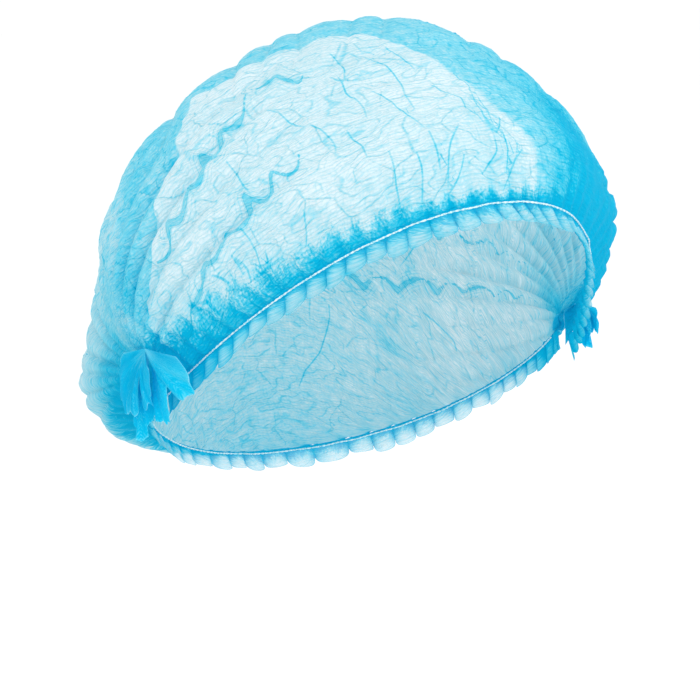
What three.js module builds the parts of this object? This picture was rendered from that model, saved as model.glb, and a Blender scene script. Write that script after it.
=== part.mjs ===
import * as THREE from "three";

// A disposable strip cap in millimetres, +Z up. The origin is the centre of the head opening,
// midway between the two side gathers. The face is towards -Y and the wearer's right is -X.

// Driving sizes
const CLOTH = 1.2;
const SEAM_GAP = 1;
const SEAT_GAP = 0.35;
const HALF_SPAN = 91;
const ROOT_RADIUS = 3;
const RUFFLE_DROP = 8;
const RUFFLE_FLARE = 1.5;
const RUFFLE_WAVE_GAIN = 0.6;
const SCALLOP = 1.6;
const THREAD = 1.2;
const THREAD_DROP = 0.7;

// The arch from a gather to the crest: how far its shoulder control point stands out for each
// unit of swell, and how high it is as a share of the root's and the crest's heights.
const SHOULDER_SWELL = 1.5;
const SHOULDER_ROOT_SHARE = 0.7;
const SHOULDER_CREST_SHARE = 0.3;

// The pleats, their depths and where along a section they die out towards its two roots. They
// begin some degrees in from each hem, and wander by a few degrees.
const PLEATS = 14;
const PLEAT_DEPTH_CREST = 1.3;
const PLEAT_DEPTH_SIDE = 3.4;
const PLEAT_SHOULDER_POWER = 1.4;
const PLEAT_FADE = { start: 0.7, end: 0.98 };
const PLEAT_WANDER = { degrees: 1.2, beat: 0.9 };
const FRONT_PLEAT_START = 14.4;
const NAPE_PLEAT_START = 11.7;

// How finely the walls and threads are divided
const STEPS_PER_WAVE = 4;
const CROWN_COLUMNS = 20;
const ROOT_CROWDING = 0.55;
const THREAD_POINTS = 40;
const THREAD_STEPS = 56;
const THREAD_SIDES = 5;

// The sheet from the front hem over the head to the nape hem, a row for each section. A section
// is an arch from one side gather to the other. Its angle turns it about X, up from -Y. The
// crest is its height over that axis, swell is how far its shoulders stand out past the
// gathers, fullness is how broad its top is, and sag is how far its ends hang down.
const SECTIONS = [
  { name: "front_hem", angle: 36, crest: 119, swell: -7, fullness: 0.64, sag: 12 },
  { name: "brow", angle: 44, crest: 127, swell: 7, fullness: 0.64, sag: 7 },
  { name: "forehead", angle: 60, crest: 126, swell: 20, fullness: 0.57, sag: 1 },
  { name: "top", angle: 90, crest: 129, swell: 33, fullness: 0.52, sag: 0 },
  { name: "top_back", angle: 120, crest: 120, swell: 26, fullness: 0.66, sag: 0 },
  { name: "back", angle: 150, crest: 117, swell: 17, fullness: 0.81, sag: 0 },
  { name: "low_back", angle: 180, crest: 114, swell: 16, fullness: 0.91, sag: 0 },
  { name: "puff", angle: 205, crest: 112, swell: 22, fullness: 0.8, sag: 0 },
  { name: "nape", angle: 216, crest: 104, swell: 12, fullness: 0.9, sag: 0 },
  { name: "nape_hem", angle: 222, crest: 86, swell: 4, fullness: 0.78, sag: 0 },
];
const SHAPE_COLUMNS = ["crest", "swell", "fullness", "sag"];

// The two gathered edges. Inward is the way from the edge into the sheet, as a sign of the
// angle, and lean is the run towards -Y for each unit that a ruffle hangs. The gathers fade
// over some degrees of the crown, and along the edge near its two ends.
const FRONT_EDGE = { angle: 36, inward: 1, gathers: 30, depth: 1.3, lean: 0.3 };
const NAPE_EDGE = { angle: 222, inward: -1, gathers: 24, depth: 1.3, lean: 0.45 };
const EDGE_REACH = 0.965;
const THREAD_END_INSET = 0.01;
const GATHER_FADE_ANGLE = 9;
const GATHER_END_FADE = 0.8;

// The folds of a side gather, a row for each. Turn is degrees from straight down towards +Y,
// length is the free leaf and lift is how far its tip stands out.
const LEAVES = [
  { name: "front_flap", turn: -70, length: 30, lift: 1 },
  { name: "front_leaf", turn: -54, length: 28, lift: 4 },
  { name: "long_leaf", turn: -36, length: 29, lift: 6 },
  { name: "middle_leaf", turn: -18, length: 26, lift: 7 },
  { name: "short_leaf", turn: 0, length: 25, lift: 7 },
  { name: "back_leaf", turn: 18, length: 20, lift: 5 },
];
const LEAF_COLUMNS = ["turn", "length", "lift"];
const LEAF_TOP = 8;
const LEAF_STAND_OFF = 5.4;
const LEAF_FOLD = 2;
const LEAF_SCALLOP = 1.2;
const LEAF_NECK = 4;
const LEAF_ROOT_FOLD = 0.15;
const LEAF_RINGS = [0, 0.33, 0.67, 1];

// The two side gathers: the wearer's right is -1. Size is how much of the leaves hangs free,
// twist is how far and which way they turn, and folds is how many of them part from each other.
const RIGHT_GATHER = { side: -1, size: 1, twist: 1, folds: 6 };
const LEFT_GATHER = { side: 1, size: 0.62, twist: -0.5, folds: 3 };

const COLOURS = { crown: 0x9fdcec, ruffle: 0x35c0e2, thread: 0xf2fbfd, gather: 0x12b4e4 };

const sheetShape = new THREE.CubicInterpolant(
  SECTIONS.map((row) => row.angle),
  SECTIONS.flatMap((row) => SHAPE_COLUMNS.map((column) => row[column])),
  SHAPE_COLUMNS.length,
);

// A point of the smooth sheet. Across runs from -1 at the right gather to 1 at the left one.
function sheetPoint(angle, across) {
  const [crest, swell, fullness, sag] = sheetShape.evaluate(angle);
  const nearSide = Math.abs(across);
  const arch = new THREE.CubicBezierCurve(
    new THREE.Vector2(HALF_SPAN, ROOT_RADIUS),
    new THREE.Vector2(
      HALF_SPAN + SHOULDER_SWELL * swell,
      SHOULDER_ROOT_SHARE * ROOT_RADIUS + SHOULDER_CREST_SHARE * crest,
    ),
    new THREE.Vector2(fullness * (HALF_SPAN + swell), crest),
    new THREE.Vector2(0, crest),
  );
  const { x, y: radius } = arch.getPoint(1 - nearSide);
  const turn = THREE.MathUtils.degToRad(angle);
  return new THREE.Vector3(
    Math.sign(across) * x,
    -radius * Math.cos(turn),
    radius * Math.sin(turn) - sag * nearSide ** 2,
  );
}

// The outward direction of the smooth sheet.
function sheetNormal(angle, across) {
  const step = 0.01;
  const inner = THREE.MathUtils.clamp(across, -1 + step, 1 - step);
  const alongPleat = sheetPoint(angle, inner + step).sub(sheetPoint(angle, inner - step));
  const acrossPleats = sheetPoint(angle + step, inner).sub(sheetPoint(angle - step, inner));
  return alongPleat.cross(acrossPleats).normalize();
}

// The frame of a gathered edge: its point, the way its ruffle hangs and the way its front faces,
// which is outwards at the front hem and into the cap at the nape hem.
function edgeFrame(edge, across) {
  const step = 0.005;
  const point = sheetPoint(edge.angle, across);
  const ahead = sheetPoint(edge.angle, across + step);
  const behind = sheetPoint(edge.angle, across - step);
  const along = ahead.sub(behind).normalize();
  const down = new THREE.Vector3(0, -edge.lean, -1).normalize();
  const out = down.clone().cross(along).normalize();
  return { point, down, out };
}

// A closed wall of even thickness about rows of points. Rows may differ in how many points
// they hold, and each point carries its own across value.
function clothWall(rows) {
  const positions = [];
  const index = [];
  const starts = [];
  const normals = rows.map((row, r) => row.map((point, c) => rowNormal(rows, r, c)));
  let count = 0;
  rows.forEach((row) => {
    starts.push(count);
    count += row.length;
  });
  [CLOTH / 2, -CLOTH / 2].forEach((offset) => {
    rows.forEach((row, r) => row.forEach(({ place }, c) => {
      const moved = place.clone().addScaledVector(normals[r][c], offset);
      positions.push(moved.x, moved.y, moved.z);
    }));
  });
  const outer = (r, c) => starts[r] + c;
  const inner = (r, c) => count + starts[r] + c;
  for (let r = 0; r + 1 < rows.length; r += 1) {
    zipRows(rows, r).forEach(([a, b, c]) => {
      index.push(outer(...a), outer(...b), outer(...c));
      index.push(inner(...c), inner(...b), inner(...a));
    });
  }
  rimPairs(rows).forEach(([a, b]) => {
    index.push(outer(...a), inner(...b), outer(...b));
    index.push(outer(...a), inner(...a), inner(...b));
  });
  const geometry = new THREE.BufferGeometry();
  geometry.setAttribute("position", new THREE.Float32BufferAttribute(positions, 3));
  geometry.setIndex(index);
  geometry.computeVertexNormals();
  return geometry;
}

// The triangles between a row and the next, walked by their across values.
function zipRows(rows, r) {
  const near = rows[r];
  const far = rows[r + 1];
  const triangles = [];
  let i = 0;
  let j = 0;
  while (i + 1 < near.length || j + 1 < far.length) {
    const nearNext = i + 1 < near.length ? near[i + 1].across : Infinity;
    const farNext = j + 1 < far.length ? far[j + 1].across : Infinity;
    if (nearNext <= farNext) {
      triangles.push([[r, i], [r, i + 1], [r + 1, j]]);
      i += 1;
    } else {
      triangles.push([[r, i], [r + 1, j + 1], [r + 1, j]]);
      j += 1;
    }
  }
  return triangles;
}

// The border of the rows as pairs of neighbours, in one turning sense.
function rimPairs(rows) {
  const last = rows.length - 1;
  const pairs = [];
  for (let c = 0; c + 1 < rows[0].length; c += 1) pairs.push([[0, c], [0, c + 1]]);
  for (let r = 0; r < last; r += 1) {
    pairs.push([[r, rows[r].length - 1], [r + 1, rows[r + 1].length - 1]]);
  }
  for (let c = rows[last].length - 1; c > 0; c -= 1) pairs.push([[last, c], [last, c - 1]]);
  for (let r = last; r > 0; r -= 1) pairs.push([[r, 0], [r - 1, 0]]);
  return pairs;
}

// The point of a row at an across value.
function rowPlace(row, across) {
  let c = 0;
  while (c + 2 < row.length && row[c + 1].across < across) c += 1;
  const share = (across - row[c].across) / (row[c + 1].across - row[c].across);
  return row[c].place.clone().lerp(row[c + 1].place, THREE.MathUtils.clamp(share, 0, 1));
}

function rowNormal(rows, r, c) {
  const row = rows[r];
  const { across } = row[c];
  const along = row[Math.min(c + 1, row.length - 1)].place.clone();
  along.sub(row[Math.max(c - 1, 0)].place);
  const over = rowPlace(rows[Math.min(r + 1, rows.length - 1)], across);
  over.sub(rowPlace(rows[Math.max(r - 1, 0)], across));
  return along.cross(over).normalize();
}

// Even steps from -reach to reach, drawn closer together near the two ends.
function acrossSteps(count, reach, crowding) {
  return Array.from({ length: count + 1 }, (unused, i) => {
    const even = (2 * i) / count - 1;
    const crowded = Math.sin((Math.PI / 2) * even);
    return reach * THREE.MathUtils.lerp(even, crowded, crowding);
  });
}

// How deep the pleats stand: shallow over the crest, deepest at the shoulders, none at a root.
function pleatDepth(across) {
  const nearSide = Math.abs(across);
  const shoulder = Math.sin(Math.PI * nearSide ** PLEAT_SHOULDER_POWER) ** 2;
  const root = 1 - THREE.MathUtils.smoothstep(nearSide, PLEAT_FADE.start, PLEAT_FADE.end);
  return THREE.MathUtils.lerp(PLEAT_DEPTH_CREST, PLEAT_DEPTH_SIDE, shoulder) * root;
}

// One row of the crown. Wave is 1 on a pleat's ridge and -1 in its valley.
function crownRow(angle, wave, columns) {
  return columns.map((across) => {
    const out = sheetNormal(angle, across);
    const place = sheetPoint(angle, across).addScaledVector(out, wave * pleatDepth(across));
    return { across, place };
  });
}

// How high the gathers of an edge stand at an across value.
function gatherLift(edge, across) {
  const place = (across / EDGE_REACH + 1) / 2;
  const wave = Math.cos(2 * Math.PI * edge.gathers * place);
  const ends = 1 - THREE.MathUtils.smoothstep(Math.abs(across), GATHER_END_FADE, EDGE_REACH);
  return { wave, lift: edge.depth * ends * wave };
}

// A row near a gathered edge, where the pleats die out and the gathers begin.
function gatheredRow(edge, share, columns) {
  const angle = edge.angle + edge.inward * GATHER_FADE_ANGLE * (1 - share);
  return columns.map((across) => {
    const { out } = edgeFrame(edge, across);
    const lift = share * gatherLift(edge, across).lift;
    return { across, place: sheetPoint(angle, across).addScaledVector(out, lift) };
  });
}

function edgeSteps(edge) {
  return acrossSteps(STEPS_PER_WAVE * edge.gathers, EDGE_REACH, 0);
}

function crown() {
  const columns = acrossSteps(CROWN_COLUMNS, 1, ROOT_CROWDING);
  const first = FRONT_EDGE.angle + FRONT_PLEAT_START;
  const last = NAPE_EDGE.angle - NAPE_PLEAT_START;
  const stepCount = STEPS_PER_WAVE * PLEATS;
  const pleated = Array.from({ length: stepCount + 1 }, (unused, k) => {
    const wander = PLEAT_WANDER.degrees * Math.sin(PLEAT_WANDER.beat * k);
    const angle = THREE.MathUtils.lerp(first, last, k / stepCount) + wander;
    return crownRow(angle, Math.cos((2 * Math.PI * k) / STEPS_PER_WAVE), columns);
  });
  const frontColumns = [-1, ...edgeSteps(FRONT_EDGE), 1];
  const napeColumns = [-1, ...edgeSteps(NAPE_EDGE), 1];
  const front = [1, 0.5].map((share) => gatheredRow(FRONT_EDGE, share, frontColumns));
  const nape = [0.5, 1].map((share) => gatheredRow(NAPE_EDGE, share, napeColumns));
  return clothWall([...front, ...pleated, ...nape]);
}

// The free edge past the thread, scalloped between gathers.
function ruffle(edge) {
  const rows = [0, 0.5, 1].map((share) => edgeSteps(edge).map((across) => {
    const { point, down, out } = edgeFrame(edge, across);
    const gather = gatherLift(edge, across);
    const drop = SEAM_GAP + share * (RUFFLE_DROP + SCALLOP * gather.wave);
    const lift = gather.lift * (1 + RUFFLE_WAVE_GAIN * share) + RUFFLE_FLARE * share;
    const place = point.clone().addScaledVector(down, drop).addScaledVector(out, lift);
    return { across, place };
  }));
  return clothWall(edge.inward > 0 ? rows.reverse() : rows);
}

// The thread that draws a hem in, lying on the front of the seam.
function elastic(edge) {
  const standOff = CLOTH / 2 + edge.depth + SEAT_GAP + THREAD / 2;
  const reach = EDGE_REACH - THREAD_END_INSET;
  const route = acrossSteps(THREAD_POINTS, reach, 0).map((across) => {
    const { point, down, out } = edgeFrame(edge, across);
    return point.clone().addScaledVector(down, THREAD_DROP).addScaledVector(out, standOff);
  });
  const circle = new THREE.EllipseCurve(0, 0, THREAD / 2, THREAD / 2);
  const section = new THREE.Shape(circle.getPoints(THREAD_SIDES));
  return new THREE.ExtrudeGeometry(section, {
    steps: THREAD_STEPS,
    bevelEnabled: false,
    extrudePath: new THREE.CatmullRomCurve3(route),
  });
}

// The fan of folded leaves at one end of the strip.
function sideGather({ side, size, twist, folds }) {
  const leafShape = new THREE.CubicInterpolant(
    LEAVES.map((row, i) => i),
    LEAVES.flatMap((row) => LEAF_COLUMNS.map((column) => row[column])),
    LEAF_COLUMNS.length,
  );
  const stepCount = STEPS_PER_WAVE * (folds - 1);
  const rows = LEAF_RINGS.map((ring) => Array.from({ length: stepCount + 1 }, (unused, k) => {
    const [turn, length, lift] = leafShape.evaluate(((LEAVES.length - 1) * k) / stepCount);
    const wave = Math.cos((2 * Math.PI * k) / STEPS_PER_WAVE);
    const fold = LEAF_FOLD * THREE.MathUtils.lerp(LEAF_ROOT_FOLD, 1, ring) * wave;
    const leaf = size * (length + LEAF_SCALLOP * wave);
    const reach = THREE.MathUtils.lerp(LEAF_NECK, leaf, ring);
    const direction = THREE.MathUtils.degToRad(twist * turn);
    const place = new THREE.Vector3(
      side * (HALF_SPAN + LEAF_STAND_OFF + lift * ring + fold),
      reach * Math.sin(direction),
      LEAF_TOP - reach * Math.cos(direction),
    );
    return { across: k / stepCount, place };
  }));
  return clothWall(side * twist < 0 ? rows : rows.reverse());
}

function clothMaterial(color) {
  return new THREE.MeshStandardMaterial({ color, roughness: 0.85, metalness: 0 });
}

function piece(name, geometry, material) {
  const mesh = new THREE.Mesh(geometry, material);
  mesh.name = name;
  return mesh;
}

const hairnet = new THREE.Group();
hairnet.name = "hairnet";
hairnet.add(
  piece("crown", crown(), clothMaterial(COLOURS.crown)),
  piece("front_ruffle", ruffle(FRONT_EDGE), clothMaterial(COLOURS.ruffle)),
  piece("back_ruffle", ruffle(NAPE_EDGE), clothMaterial(COLOURS.ruffle)),
  piece("front_elastic", elastic(FRONT_EDGE), clothMaterial(COLOURS.thread)),
  piece("back_elastic", elastic(NAPE_EDGE), clothMaterial(COLOURS.thread)),
  piece("right_gather", sideGather(RIGHT_GATHER), clothMaterial(COLOURS.gather)),
  piece("left_gather", sideGather(LEFT_GATHER), clothMaterial(COLOURS.gather)),
);

export default hairnet;
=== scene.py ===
import math

import bpy
import numpy as np
from mathutils import Matrix, Vector


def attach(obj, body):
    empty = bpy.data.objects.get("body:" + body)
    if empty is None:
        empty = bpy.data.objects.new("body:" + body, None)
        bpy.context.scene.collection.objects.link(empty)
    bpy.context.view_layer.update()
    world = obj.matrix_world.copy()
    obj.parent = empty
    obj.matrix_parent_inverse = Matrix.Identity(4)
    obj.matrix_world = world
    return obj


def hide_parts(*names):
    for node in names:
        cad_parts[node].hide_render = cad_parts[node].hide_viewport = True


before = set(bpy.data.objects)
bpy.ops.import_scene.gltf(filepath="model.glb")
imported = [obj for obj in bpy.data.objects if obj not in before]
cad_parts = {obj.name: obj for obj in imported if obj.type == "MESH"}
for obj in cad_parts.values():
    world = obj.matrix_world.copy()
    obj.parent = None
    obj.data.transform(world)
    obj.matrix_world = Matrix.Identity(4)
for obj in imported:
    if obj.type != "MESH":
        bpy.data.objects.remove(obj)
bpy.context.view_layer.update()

MM = 0.001
NOISE_CELLS = 64
# Farther than any crease shows and than any cell of the crumpling reaches
FAR = 9.0

# Camera: the cap is seen from the wearer's front right and a little above.
CAMERA_AZIMUTH = math.radians(-27)
CAMERA_ELEVATION = math.radians(12.8)
CAMERA_ROLL = math.radians(1)
CAMERA_DISTANCE = 0.75
PICTURE_SIZE = 700
PIXELS_PER_METRE = 2500
ORIGIN_PIXEL = (372, 346)
SENSOR_WIDTH = 36
CAMERA_CLIP = 0.02

# The cap's sizes, in millimetres, as the solids have them.
HALF_SPAN = 91
ROOT_RADIUS = 3
RUFFLE_DROP = 8
LEAF_TOP = 8
LEAF_STAND_OFF = 5.4
LEAF_NECK = 4

# The sheet's sections: angle up from the face, crest height, shoulder swell, fullness of the
# arch and sag of its ends.
SECTIONS = np.array([
    (36, 119, -7, 0.64, 12),
    (44, 127, 7, 0.64, 7),
    (60, 126, 20, 0.57, 1),
    (90, 129, 33, 0.52, 0),
    (120, 120, 26, 0.66, 0),
    (150, 117, 17, 0.81, 0),
    (180, 114, 16, 0.91, 0),
    (205, 112, 22, 0.80, 0),
    (216, 104, 12, 0.90, 0),
    (222, 86, 4, 0.78, 0),
], float)
FRONT_ANGLE = SECTIONS[0, 0]
NAPE_ANGLE = SECTIONS[-1, 0]

# The two gathered edges.
FRONT_EDGE = dict(name="front", angle=FRONT_ANGLE, gathers=38, lean=0.3, slant=3.5, thread=0.955,
                  seed=3, flat=(0.34, 0.010))
NAPE_EDGE = dict(name="back", angle=NAPE_ANGLE, gathers=32, lean=0.45, slant=0.0, thread=0.90,
                 seed=4, flat=(0.27, 0.010))
EDGE_REACH = 0.965
PLEAT_PITCH = 9.8
GATHER_DEPTH = 0.8
# The ruffle's grid steps across it and along each gather, and its share that lies above the seam
RUFFLE_STEPS = 26
RUFFLE_TUCK = 0.06
# The ruffle's tone and what its zones add; valleys is painted shade between the lobes.
RUFFLE_TONE = 0.19
RUFFLE_ZONES = dict(valleys=0.46, rim=0.20, ends=0.34, specks=0.05)
THREAD_STAND_OFF = 1.25
THREAD_DROP = 0.7
THREAD_STRAND = 0.20
THREAD_SWAY = 0.45
THREAD_TWIST = 4.4
THREAD_STEPS = 1400
THREAD_SIDES = 6

# Creases kept from the folded strip, by name: the section angle and the across value
# at both ends, how far it bows, the size and number of its zigzags, and its width.
CREASES = {
    "outer_right": dict(start=(64, -0.66), end=(77, -0.33), bow=2.0, zig=1.7, teeth=5, wide=3.2),
    "inner_right": dict(start=(43, -0.75), end=(57, -0.33), bow=1.0, zig=1.8, teeth=6, wide=2.7),
    "top_fold": dict(start=(80, -0.33), end=(72, -0.22), bow=2.0, zig=1.5, teeth=2, wide=2.0),
    "back_right": dict(start=(114, -0.74), end=(118, -0.20), bow=3.0, zig=1.7, teeth=7, wide=1.8),
    "back_high": dict(start=(104, -0.20), end=(100, 0.55), bow=2.0, zig=1.7, teeth=9, wide=1.8),
    "back_middle": dict(start=(128, -0.74), end=(130, 0.74), bow=5.0, zig=1.9, teeth=17, wide=2.4),
    "back_low": dict(start=(156, -0.74), end=(158, 0.74), bow=4.0, zig=1.9, teeth=17, wide=2.0),
    "back_lowest": dict(start=(182, -0.72), end=(180, 0.72), bow=-3.0, zig=1.7, teeth=17, wide=2.4),
    "left_side": dict(start=(84, 0.10), end=(80, 0.70), bow=2.0, zig=1.8, teeth=8, wide=2.2),
    "left_front": dict(start=(62, 0.16), end=(60, 0.72), bow=2.0, zig=1.7, teeth=8, wide=2.0),
}
TOOTH_STEPS = 10

# Thin creases, a row for each: the section angle and the across value at both ends, how far it
# bows, how far it kinks and how many straight stretches it has.
THIN_CREASES = [
    ((72, -0.325), (62, -0.285), 0.0, 0.8, 3),
    ((62, -0.285), (52, -0.275), 1.5, 1.5, 4),
    ((75, -0.140), (54, -0.105), 3.0, 1.6, 5),
    ((63, -0.155), (49, -0.110), 1.5, 1.8, 4),
    ((49, -0.110), (42, -0.110), 0.0, 0.4, 2),
    ((60, -0.045), (47, 0.005), 1.5, 1.8, 5),
    ((57, 0.025), (46, 0.010), -0.6, 0.5, 2),
    ((57, 0.032), (46, 0.014), 0.6, 0.5, 2),
    ((46, 0.010), (40, -0.035), 2.0, 0.8, 3),
    ((50, 0.045), (46, 0.012), 0.8, 0.2, 2),
    ((47, 0.035), (40, 0.020), 0.8, 0.2, 2),
    ((44, 0.080), (39, 0.025), -1.0, 0.3, 2),
    ((49, -0.045), (39, -0.100), -2.0, 0.6, 3),
    ((46, -0.155), (38, -0.160), 0.5, 0.4, 3),
    ((48, -0.200), (39, -0.200), 0.0, 0.5, 3),
    ((56, -0.235), (48, -0.230), 0.0, 0.4, 3),
    ((70, -0.200), (56, -0.190), 1.0, 1.8, 5),
    ((73, -0.065), (64, -0.050), -0.8, 1.0, 4),
    ((76, -0.165), (67, -0.180), 0.8, 1.0, 3),
    ((67, -0.180), (67, -0.150), 0.8, 0.3, 2),
    ((63, 0.025), (56, 0.020), 0.5, 0.8, 3),
    ((68, -0.440), (56, -0.435), 0.0, 0.3, 2),
    ((51, -0.510), (40, -0.505), 0.4, 0.3, 3),
    ((48, -0.555), (43, -0.545), 0.0, 0.3, 2),
    ((46, -0.395), (40, -0.410), 0.4, 0.3, 3),
    ((47, -0.560), (41, -0.540), 0.5, 0.3, 3),
    ((44, -0.500), (41, -0.500), 0.0, 0.2, 2),
    ((41, -0.540), (41, -0.470), 0.8, 0.3, 3),
    ((48, -0.620), (41, -0.580), 0.5, 0.4, 3),
    ((46, -0.695), (40, -0.640), 1.0, 0.5, 3),
    ((48, -0.770), (42, -0.775), 0.0, 0.4, 2),
    ((44, -0.060), (38, -0.110), 0.6, 0.3, 2),
    ((45, 0.065), (37, 0.005), 0.6, 0.3, 2),
    ((74, 0.110), (52, 0.200), 2.0, 1.8, 5),
    ((66, 0.300), (48, 0.340), 1.5, 1.6, 5),
    ((96, 0.050), (84, 0.190), 2.0, 1.8, 5),
    ((108, -0.120), (96, 0.040), 2.0, 2.0, 5),
    ((112, 0.280), (94, 0.340), 2.0, 1.8, 5),
    ((124, -0.420), (112, -0.300), 1.5, 1.6, 4),
    ((140, -0.280), (120, -0.160), 3.0, 2.0, 6),
    ((146, 0.120), (122, 0.240), 3.0, 2.0, 6),
    ((150, 0.450), (128, 0.400), 2.0, 1.8, 5),
    ((170, -0.460), (150, -0.380), 2.0, 1.8, 5),
    ((176, -0.120), (154, -0.020), 3.0, 2.0, 6),
    ((174, 0.300), (150, 0.380), 3.0, 2.0, 6),
    ((200, -0.300), (184, -0.200), 2.0, 1.6, 4),
    ((202, 0.060), (182, 0.140), 2.0, 1.8, 5),
    ((200, 0.420), (186, 0.340), 2.0, 1.6, 4),
]
# Millimetres of cloth for one degree and for the whole of the across value, near enough
DEGREE_SPAN = 2.1
ACROSS_SPAN = 130
# How far past its ends a crease is looked for, in metres, and the reach of a thin one
CREASE_MARGIN = 0.012
THIN_REACH = 1.6

# The dips between the broad lobes over the top, a row for each: where it is and its depth in
# millimetres. They fade over some degrees to either side, and each dip runs aslant.
TOP_DIPS = np.array([
    (126, -0.66, 0.9), (119, -0.565, 1.5), (100, -0.40, 2.2), (97, -0.25, 1.5), (92, -0.195, 1.0),
    (91, -0.145, 1.1), (87, -0.055, 1.0), (84, 0.00, 0.9), (83, 0.185, 0.9), (80, 0.255, 0.9),
    (75, 0.34, 1.1), (62, 0.42, 1.3), (50, 0.495, 1.4), (46, 0.57, 1.4), (46, 0.65, 1.4),
])
TOP_DIP_SPREAD = 17
TOP_DIP_SLANT = 0.0052

# Crumpling: the width and height of its cells in millimetres, its relief and its seed.
CRUMPLES = ((26, 15, 0.55, 51), (13, 7.5, 0.32, 52), (6.5, 4.0, 0.20, 53))

# The puff beside the nape, at its angle and across value: how far it spreads and how high it is.
PUFF_PLACE = (190, 0.64)
PUFF_SPREAD = (17, 0.15)
PUFF_HEIGHT = 3.8

# The soft folds at a side gather are this many degrees apart, and this is the height of the band
# of doubled cloth at a hem, in millimetres.
ROOT_FOLD_PITCH = 8
HEM_BAND = 8.0

# The crown's grid is coarser behind this angle.
CROWN_COARSER = 108
CROWN_FRONT_ROWS = 200
CROWN_BACK_ROWS = 112
CROWN_COLUMNS = 316

# Where one layer of cloth lies over the pale inside, by across value: it ends at this angle.
PALE_EDGE = np.array([
    (-0.84, 50), (-0.82, 61), (-0.71, 66), (-0.57, 79), (-0.43, 88), (-0.36, 95), (-0.29, 89),
    (-0.20, 85), (-0.13, 83), (-0.03, 72), (0.03, 60), (0.07, 50), (0.12, 41), (0.15, 36),
], float)

# The tone of a single layer and what a second one adds, over all of the crown and in its zones
SINGLE_TONE = 0.03
SINGLE_ZONES = dict(shoulder=0.09, root=0.24, core=0.26, nape=0.20)
LAYER_TONE = 0.22
LAYER_ZONES = dict(
    left_front=0.26, deep=0.26, strip=0.10, rim=-0.05, border=0.05, back=-0.08, right=-0.03,
    top=0.03, left_side=-0.10,
)


# Cloth coordinates


def hermite(rows, at):
    """The columns of rows at some values of the first column, on a smooth curve."""
    knots = rows[:, 0]
    slopes = np.gradient(rows[:, 1:], knots, axis=0)
    i = np.clip(np.searchsorted(knots, at, side="right") - 1, 0, len(knots) - 2)
    width = (knots[i + 1] - knots[i])[..., None]
    f = ((at - knots[i]) / (knots[i + 1] - knots[i]))[..., None]
    low, high = rows[i, 1:], rows[i + 1, 1:]
    value = (2 * f**3 - 3 * f**2 + 1) * low + (3 * f**2 - 2 * f**3) * high
    return value + width * ((f**3 - 2 * f**2 + f) * slopes[i] + (f**3 - f**2) * slopes[i + 1])


def sheet_point(angle, across):
    """Points of the smooth sheet in metres, for arrays of angles and across values."""
    crest, swell, fullness, sag = np.moveaxis(hermite(SECTIONS, angle), -1, 0)
    side = np.abs(across)
    t = 1 - side
    weights = (side**3, 3 * side**2 * t, 3 * side * t**2, t**3)
    reach = (HALF_SPAN, HALF_SPAN + 1.5 * swell, fullness * (HALF_SPAN + swell), 0)
    height = (ROOT_RADIUS, 0.7 * ROOT_RADIUS + 0.3 * crest, crest, crest)
    x = sum(w * value for w, value in zip(weights, reach))
    radius = sum(w * value for w, value in zip(weights, height))
    turn = np.radians(angle)
    point = (np.sign(across) * x, -radius * np.cos(turn), radius * np.sin(turn) - sag * side**2)
    return MM * np.stack(point, -1)


def unit(vectors):
    return vectors / np.maximum(np.linalg.norm(vectors, axis=-1, keepdims=True), 1e-9)


def sheet_normal(angle, across):
    step = 0.01
    inner = np.clip(across, -1 + step, 1 - step)
    along = sheet_point(angle, inner + step) - sheet_point(angle, inner - step)
    over = sheet_point(angle + step, inner) - sheet_point(angle - step, inner)
    return unit(np.cross(along, over))


def edge_frame(edge, across):
    """The point of a gathered edge, the way along it, the way its ruffle hangs and its front."""
    step = 0.004
    angle = np.full_like(across, edge["angle"])
    point = sheet_point(angle, across)
    along = unit(sheet_point(angle, across + step) - sheet_point(angle, across - step))
    down = unit(np.array((0, -edge["lean"], -1.0))) * np.ones_like(point)
    out = unit(np.cross(down, along))
    return point, along, down, out


def smooth(low, high, value):
    f = np.clip((value - low) / (high - low), 0, 1)
    return f * f * (3 - 2 * f)


def soft_noise(x, y, seed):
    """Smooth noise from -1 to 1 with features about one unit wide. Each use has its own seed."""
    table = np.random.default_rng(seed).uniform(-1, 1, (NOISE_CELLS, NOISE_CELLS))
    i, j = np.floor(x).astype(int), np.floor(y).astype(int)
    fx, fy = x - i, y - j
    fx, fy = fx * fx * (3 - 2 * fx), fy * fy * (3 - 2 * fy)
    i, j = i % NOISE_CELLS, j % NOISE_CELLS
    next_i, next_j = (i + 1) % NOISE_CELLS, (j + 1) % NOISE_CELLS
    low = table[i, j] * (1 - fx) + table[next_i, j] * fx
    high = table[i, next_j] * (1 - fx) + table[next_i, next_j] * fx
    return low * (1 - fy) + high * fy


def crumple(x, y, seed):
    """Distance to the nearest border between scattered cells, 0 on it, and the cell's tilt."""
    table = np.random.default_rng(seed).uniform(0, 1, (NOISE_CELLS, NOISE_CELLS, 4))
    i, j = np.floor(x).astype(int), np.floor(y).astype(int)
    nearest = np.full(x.shape, FAR)
    second = np.full(x.shape, FAR)
    tilt = np.zeros(x.shape)
    for a in (-1, 0, 1):
        for b in (-1, 0, 1):
            cell = table[(i + a) % NOISE_CELLS, (j + b) % NOISE_CELLS]
            dx = i + a + cell[..., 0] - x
            dy = j + b + cell[..., 1] - y
            gap = np.hypot(dx, dy)
            closer = gap < nearest
            lean = (cell[..., 2] - 0.5) * dx + (cell[..., 3] - 0.5) * dy
            second = np.where(closer, nearest, np.minimum(second, gap))
            tilt = np.where(closer, lean, tilt)
            nearest = np.where(closer, gap, nearest)
    return second - nearest, tilt


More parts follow.
